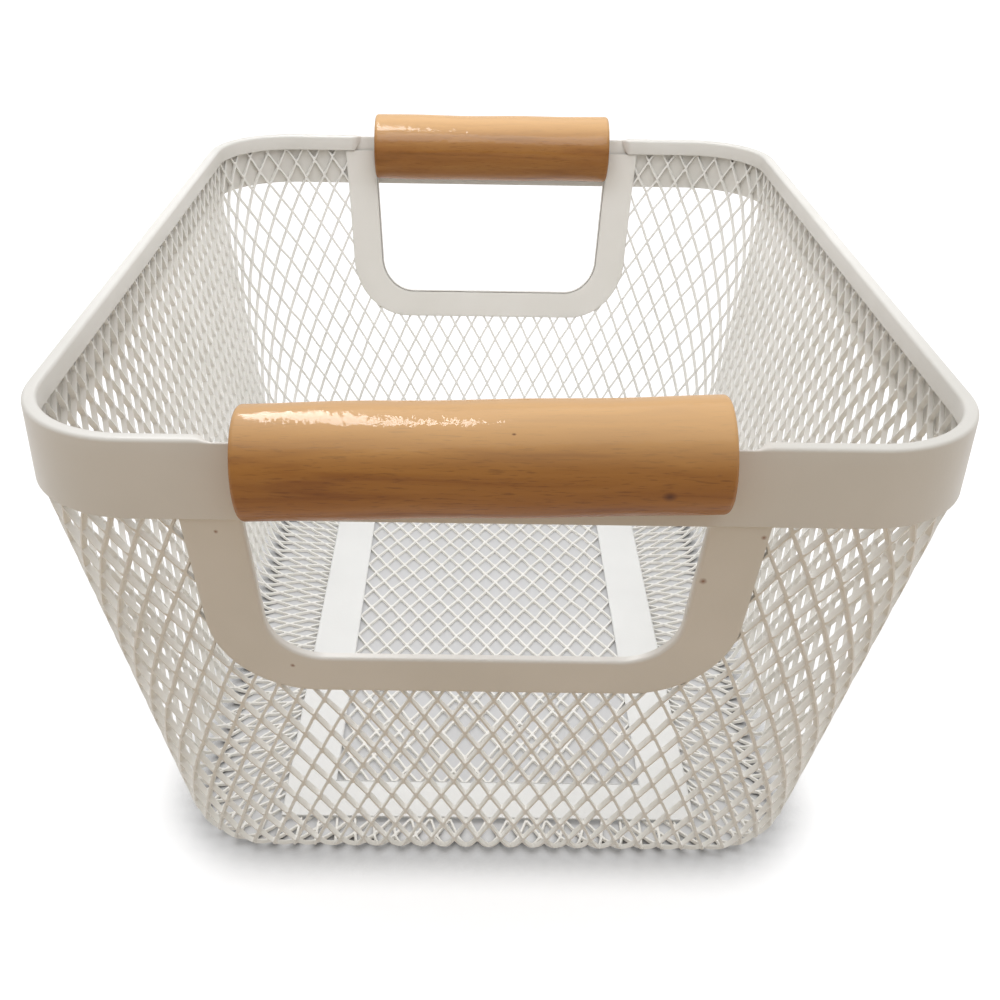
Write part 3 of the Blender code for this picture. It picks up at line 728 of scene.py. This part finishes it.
def varnished_wood(name, stops, marks):
    """Hardwood under gloss varnish: grain and short dark pores run along the grip.

    The eye sees amber streaks, fine dashes, a knot or two, a top made paler by painted light
    and sheen from above, and a wet highlight that ripples where the brushed varnish is uneven.
    A mark is its place, its half length along the grain and its half width.
    """
    grain_width = 0.0045
    pore_width = 0.00045
    grain_stretch = 0.09
    pore_stretch = 0.10
    ripple_pitch = 0.0030
    painted_top_from, painted_top_to, painted_top_share = 0.1625, 0.1755, 0.60
    material = bpy.data.materials.new(name)
    material.use_nodes = True
    tree = material.node_tree
    shader = tree.nodes["Principled BSDF"]
    shader.inputs["Roughness"].default_value = 0.45
    shader.inputs["Specular IOR Level"].default_value = 0.06
    shader.inputs["Coat Weight"].default_value = 0.35
    shader.inputs["Coat Roughness"].default_value = 0.07
    place = add_node(tree, "ShaderNodeTexCoord").outputs["Object"]
    along = add_node(tree, "ShaderNodeMapping", [(place, "Vector")], Scale=(grain_stretch, 1, 1))
    grain = add_node(tree, "ShaderNodeTexNoise", [(along.outputs[0], "Vector")],
                     Scale=1 / grain_width, Detail=5.0, Distortion=0.6)
    streaks = add_node(tree, "ShaderNodeValToRGB", [(grain.outputs["Fac"], "Fac")], stops=stops)
    dashes = add_node(tree, "ShaderNodeMapping", [(place, "Vector")], Scale=(pore_stretch, 1, 1))
    pores = add_node(tree, "ShaderNodeTexNoise", [(dashes.outputs[0], "Vector")],
                     Scale=1 / pore_width, Detail=2.0)
    dark = add_node(tree, "ShaderNodeMapRange", [(pores.outputs["Fac"], "Value")],
                    From_Min=0.56, From_Max=0.72, To_Min=0.0, To_Max=0.45)
    pored = add_node(tree, "ShaderNodeMix", [(dark.outputs[0], "Factor"),
                     (streaks.outputs["Color"], "A")], data_type="RGBA")
    pored.inputs["B"].default_value = linear("#6b4220")
    apart = add_node(tree, "ShaderNodeSeparateXYZ", [(place, "Vector")])
    # Painted light and sheen: the grip is made paler towards its top, where light from above falls.
    painted_top = add_node(tree, "ShaderNodeMapRange", [(apart.outputs["Z"], "Value")],
                    From_Min=painted_top_from, From_Max=painted_top_to, To_Max=painted_top_share,
                    interpolation_type="SMOOTHSTEP")
    painted_top_mix = add_node(tree, "ShaderNodeMix", [(painted_top.outputs[0], "Factor"),
                     (pored.outputs["Result"], "A")], data_type="RGBA")
    painted_top_mix.inputs["B"].default_value = linear("#f8cc94")
    colour = painted_top_mix.outputs["Result"]
    for x, y, z, half_length, half_width in marks:
        offset = add_node(tree, "ShaderNodeMapping", [(place, "Vector")], vector_type="TEXTURE",
                          Location=(x, y, z), Scale=(half_length, half_width, half_width))
        reach = add_node(tree, "ShaderNodeVectorMath", [(offset.outputs[0], 0)], operation="LENGTH")
        inside = add_node(tree, "ShaderNodeMapRange", [(reach.outputs["Value"], "Value")],
                          From_Min=0.3, From_Max=1.0, To_Min=0.8, To_Max=0.0)
        knotted = add_node(tree, "ShaderNodeMix", [(inside.outputs[0], "Factor"), (colour, "A")],
                           data_type="RGBA")
        knotted.inputs["B"].default_value = linear("#4a1f10")
        colour = knotted.outputs["Result"]
    tree.links.new(colour, shader.inputs["Base Color"])
    ripple = add_node(tree, "ShaderNodeTexNoise", [(place, "Vector")], Scale=1 / ripple_pitch,
                      Detail=2.0)
    bump = add_node(tree, "ShaderNodeBump", [(ripple.outputs["Fac"], "Height")], Strength=0.45,
                    Distance=0.0004)
    tree.links.new(bump.outputs["Normal"], shader.inputs["Coat Normal"])
    return material


def make_grip(name, node, side, wood):
    """Grip as rings along its length: a round outline with the groove cut up from below.

    A slow wave along it and a twisted lobe round it keep it from being a true cylinder.
    """
    half = grip_lengths[side] / 2
    ceiling = grip_drop - flat_drop + half * math.tan(grip_tilts[side]) + groove_play
    turn = np.linspace(0, math.pi / 2, 7)
    ends = half - grip_end_radius * (1 - np.cos(turn))[::-1]
    shrink = grip_end_radius * (1 - np.sin(turn))[::-1]
    inside = np.linspace(-1, 1, 60)[1:-1] * (half - grip_end_radius)
    x = np.concatenate([-ends[::-1], inside, ends])
    radius = grip_radius - np.concatenate([shrink[::-1], 0 * inside, shrink])
    open_angle = np.arcsin(groove_half_width / radius)[:, None]
    sweep = np.linspace(0, 1, 72)[None]
    angle = -math.pi / 2 + open_angle + sweep * (2 * math.pi - 2 * open_angle)
    lobe = np.sin(lobe_count * angle + x[:, None] * lobe_twist_per_metre)
    wave = turning_wave * (np.sin(x[:, None] * wave_per_metre) + lobe)
    round_y = (radius[:, None] + wave) * np.cos(angle)
    round_z = (radius[:, None] + wave) * np.sin(angle)
    groove_y = np.array([-1, -1, -1, 1, 1, 1]) * groove_half_width
    rise = np.array([0.4, 0.8, 1.0, 1.0, 0.8, 0.4])
    groove_z = round_z[:, -1:] * (1 - rise) + ceiling * rise
    y = np.concatenate([round_y, np.broadcast_to(groove_y, groove_z.shape)], 1)
    z = np.concatenate([round_z, groove_z], 1)
    tilt = grip_tilts[side]
    along = x[:, None] * math.cos(tilt) - z * math.sin(tilt) + grip_shifts[side]
    up = x[:, None] * math.sin(tilt) + z * math.cos(tilt) - grip_drop
    across_end = side * (rim_half_length - grip_depth - y)
    points = np.stack(np.broadcast_arrays(along, across_end, rim_height + up), -1)
    rows, columns = points.shape[:2]
    faces = grid_faces(rows, columns, False, True)
    faces += [list(range(columns))[::-1], list(range((rows - 1) * columns, rows * columns))]
    if side > 0:
        faces = [face[::-1] for face in faces]
    piece = add_piece(name, points.reshape(-1, 3), faces, wood)
    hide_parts(node)


amber = [(0.30, "#935c26"), (0.47, "#a97130"), (0.62, "#b17936"), (0.80, "#bc8643")]
# The back grip's stops are the front's amber made darker: painted shade, as the softbox over the
# mouth lights that grip more than the front one.
amber_painted_darker = [(0.30, "#7f5126"), (0.47, "#946230"), (0.62, "#9b6a35"), (0.80, "#a77640")]
knots = [(0.0393, -0.1678, 0.158, 0.0022, 0.0018), (-0.0509, -0.1651, 0.1513, 0.0010, 0.0008),
         (-0.0161, -0.1590, 0.1736, 0.0008, 0.0004), (0.0025, -0.1624, 0.1715, 0.0007, 0.0004),
         (-0.0622, -0.1668, 0.1655, 0.0026, 0.0003)]
front_wood = varnished_wood("varnished_hardwood_front", amber, knots)
back_wood = varnished_wood("varnished_hardwood_back", amber_painted_darker, [])
make_grip("front_wooden_grip", "front_grip", -1, front_wood)
make_grip("back_wooden_grip", "back_grip", 1, back_wood)


# Setting: a white floor and white surroundings. The light is broad and comes from overhead,
# with a softbox over the mouth and a long one behind that only shows in the varnish. The
# camera stands close, above the front grip.
floor_half_size = 4.0
floor_drop = 0.0004
contact_reach = 0.016
contact_depth = 0.22
painted_shade_under_basket = 0.62
floor_glow = 0.42
shade_from, shade_to = 0.95, 1.03
warm_from, warm_to = -0.10, -0.20
world_light = 0.47
focal_pixels = 1176.0
centre_u, centre_v = 474.4, 499.5
frame_pixels = 1000
sensor_width = 36.0
camera_place = (-0.00735, -0.40545, 0.29614)
camera_pitch, camera_yaw, camera_roll = 0.5295, 0.0036, 0.0159


def seen_directly(tree):
    """One where the camera sees a surface, straight or in gloss or glass, and zero elsewhere."""
    path = add_node(tree, "ShaderNodeLightPath")
    mirrored = add_node(tree, "ShaderNodeMath", [(path.outputs["Is Glossy Ray"], 0),
                        (path.outputs["Is Transmission Ray"], 1)], operation="MAXIMUM")
    seen = add_node(tree, "ShaderNodeMath", [(path.outputs["Is Camera Ray"], 0),
                    (mirrored.outputs[0], 1)], operation="MAXIMUM")
    return seen.outputs[0]


def make_floor():
    """Big matt square that takes the basket's shadow.

    Where the camera or a reflection sees it, it has a little glow to hold it white, and a
    painted shadow darkens it under the basket and at its foot. Where it only throws light back
    up, it is a plain tone, warm in front of the basket.
    """
    white = bpy.data.materials.new("matt_white_floor")
    white.use_nodes = True
    tree = white.node_tree
    shader = tree.nodes["Principled BSDF"]
    shader.inputs["Roughness"].default_value = 0.9
    shader.inputs["Specular IOR Level"].default_value = 0.0
    shader.inputs["Emission Color"].default_value = (1, 1, 1, 1)
    seen = seen_directly(tree)
    tone = add_node(tree, "ShaderNodeMix", [(seen, "Factor")], data_type="RGBA")
    place = add_node(tree, "ShaderNodeTexCoord").outputs["Object"]
    apart = add_node(tree, "ShaderNodeSeparateXYZ", [(place, "Vector")])
    nearness = add_node(tree, "ShaderNodeMapRange", [(apart.outputs["Y"], "Value")],
                        From_Min=warm_from, From_Max=warm_to, interpolation_type="SMOOTHSTEP")
    bounce = add_node(tree, "ShaderNodeMix", [(nearness.outputs[0], "Factor")], data_type="RGBA")
    bounce.inputs["A"].default_value = linear("#f6f4f1")
    bounce.inputs["B"].default_value = linear("#b09368")
    tree.links.new(bounce.outputs["Result"], tone.inputs["A"])
    # Painted shadow: a fixed darkening under the basket, and ambient occlusion that darkens the
    # floor at the basket's foot.
    contact = add_node(tree, "ShaderNodeAmbientOcclusion", samples=16, Distance=contact_reach)
    under = add_node(tree, "ShaderNodeVectorMath", [(place, 0)], operation="MULTIPLY")
    under.inputs[1].default_value = (1 / (rim_half_width - curve_inset),
                                     1 / (rim_half_length - curve_inset), 0)
    sides = add_node(tree, "ShaderNodeVectorMath", [(under.outputs[0], 0)], operation="ABSOLUTE")
    parts = add_node(tree, "ShaderNodeSeparateXYZ", [(sides.outputs[0], "Vector")])
    widest = add_node(tree, "ShaderNodeMath", [(parts.outputs["X"], 0), (parts.outputs["Y"], 1)],
                      operation="MAXIMUM")
    outside = add_node(tree, "ShaderNodeMapRange", [(widest.outputs[0], "Value")],
                       From_Min=shade_from, From_Max=shade_to, interpolation_type="SMOOTHSTEP")
    painted_contact_shadow = add_node(tree, "ShaderNodeMapRange", [(contact.outputs["AO"], "Value")],
                     From_Min=contact_depth)
    shade = add_node(tree, "ShaderNodeMix", [(outside.outputs[0], "Factor"),
                     (painted_contact_shadow.outputs[0], "B")], data_type="FLOAT", A=painted_shade_under_basket)
    lit = add_node(tree, "ShaderNodeMix", [(shade.outputs["Result"], "Factor")], data_type="RGBA")
    lit.inputs["A"].default_value = linear("#1c1a18")
    lit.inputs["B"].default_value = linear("#e0e0e1")
    tree.links.new(lit.outputs["Result"], tone.inputs["B"])
    tree.links.new(tone.outputs["Result"], shader.inputs["Base Color"])
    deep = add_node(tree, "ShaderNodeMath", [(shade.outputs["Result"], 0),
                    (shade.outputs["Result"], 1)], operation="MULTIPLY")
    held = add_node(tree, "ShaderNodeMath", [(deep.outputs[0], 0)], operation="MULTIPLY",
                    at_1=floor_glow)
    glow = add_node(tree, "ShaderNodeMath", [(seen, 0), (held.outputs[0], 1)],
                    operation="MULTIPLY")
    tree.links.new(glow.outputs[0], shader.inputs["Emission Strength"])
    corners = [(x * floor_half_size, y * floor_half_size, -floor_drop)
               for x, y in ((-1, -1), (1, -1), (1, 1), (-1, 1))]
    mesh = bpy.data.meshes.new("floor")
    mesh.from_pydata(corners, [], [(0, 1, 2, 3)])
    mesh.materials.append(white)
    floor = bpy.data.objects.new("floor", mesh)
    bpy.context.scene.collection.objects.link(floor)


def make_world():
    """Soft white surroundings: dim as a light, plain white where the camera sees them."""
    world = bpy.data.worlds.new("white_surroundings")
    bpy.context.scene.world = world
    world.use_nodes = True
    tree = world.node_tree
    strength = add_node(tree, "ShaderNodeMapRange", [(seen_directly(tree), "Value")],
                        To_Min=world_light, To_Max=1.0)
    background = tree.nodes["Background"]
    background.inputs["Color"].default_value = (1, 1, 1, 1)
    tree.links.new(strength.outputs[0], background.inputs["Strength"])


def add_sun(name, energy, size_degrees, elevation_degrees, azimuth_degrees, colour):
    """Sun lamp: its light comes from an elevation and an azimuth, 0 in front and 90 at +X."""
    lamp = bpy.data.lights.new(name, "SUN")
    lamp.energy = energy
    lamp.angle = math.radians(size_degrees)
    lamp.color = linear(colour)[:3]
    light = bpy.data.objects.new(name, lamp)
    light.rotation_euler = (math.radians(90 - elevation_degrees), 0, math.radians(azimuth_degrees))
    bpy.context.scene.collection.objects.link(light)


def add_softbox(name, power, width, depth, place, target, spread_degrees, colour):
    """Rectangular lamp that faces a target, with a grid that narrows its beam."""
    lamp = bpy.data.lights.new(name, "AREA")
    lamp.shape = "RECTANGLE"
    lamp.energy = power
    lamp.size = width
    lamp.size_y = depth
    lamp.spread = math.radians(spread_degrees)
    lamp.color = linear(colour)[:3]
    light = bpy.data.objects.new(name, lamp)
    light.location = place
    light.rotation_euler = (Vector(target) - Vector(place)).to_track_quat("-Z", "Y").to_euler()
    light.visible_camera = False
    bpy.context.scene.collection.objects.link(light)
    return light


def make_camera():
    """Pinhole camera from the fitted focal length, centre, place and angles."""
    forward = np.array([math.sin(camera_yaw) * math.cos(camera_pitch),
                        math.cos(camera_yaw) * math.cos(camera_pitch), -math.sin(camera_pitch)])
    right = np.array([math.cos(camera_yaw), -math.sin(camera_yaw), 0])
    up = np.cross(right, forward)
    turned_right = math.cos(camera_roll) * right + math.sin(camera_roll) * up
    turned_up = -math.sin(camera_roll) * right + math.cos(camera_roll) * up
    data = bpy.data.cameras.new("camera")
    data.sensor_width = sensor_width
    data.lens = focal_pixels * sensor_width / frame_pixels
    data.shift_x = (frame_pixels / 2 - centre_u) / frame_pixels
    data.shift_y = (centre_v - frame_pixels / 2) / frame_pixels
    camera = bpy.data.objects.new("camera", data)
    matrix = np.eye(4)
    matrix[:3, :3] = np.stack([turned_right, turned_up, -forward], 1)
    matrix[:3, 3] = camera_place
    camera.matrix_world = matrix.T.tolist()
    bpy.context.scene.collection.objects.link(camera)
    bpy.context.scene.camera = camera


make_floor()
make_world()
add_sun("top_light", 1.7, 90, 84, 180, "#ffffff")
add_softbox("inside_softbox", 0.15, 0.20, 0.14, (0, -0.04, 0.36), (0, 0.15, 0.10), 120,
            "#f6f9ff")
window = add_softbox("window_softbox", 2.3, 0.10, 0.38, (-0.138, 0.105, 0.640),
                     (-0.044, -0.155, 0.175), 180, "#ffffff")
window.visible_diffuse = False
make_camera()
bpy.context.scene.view_settings.view_transform = "Standard"
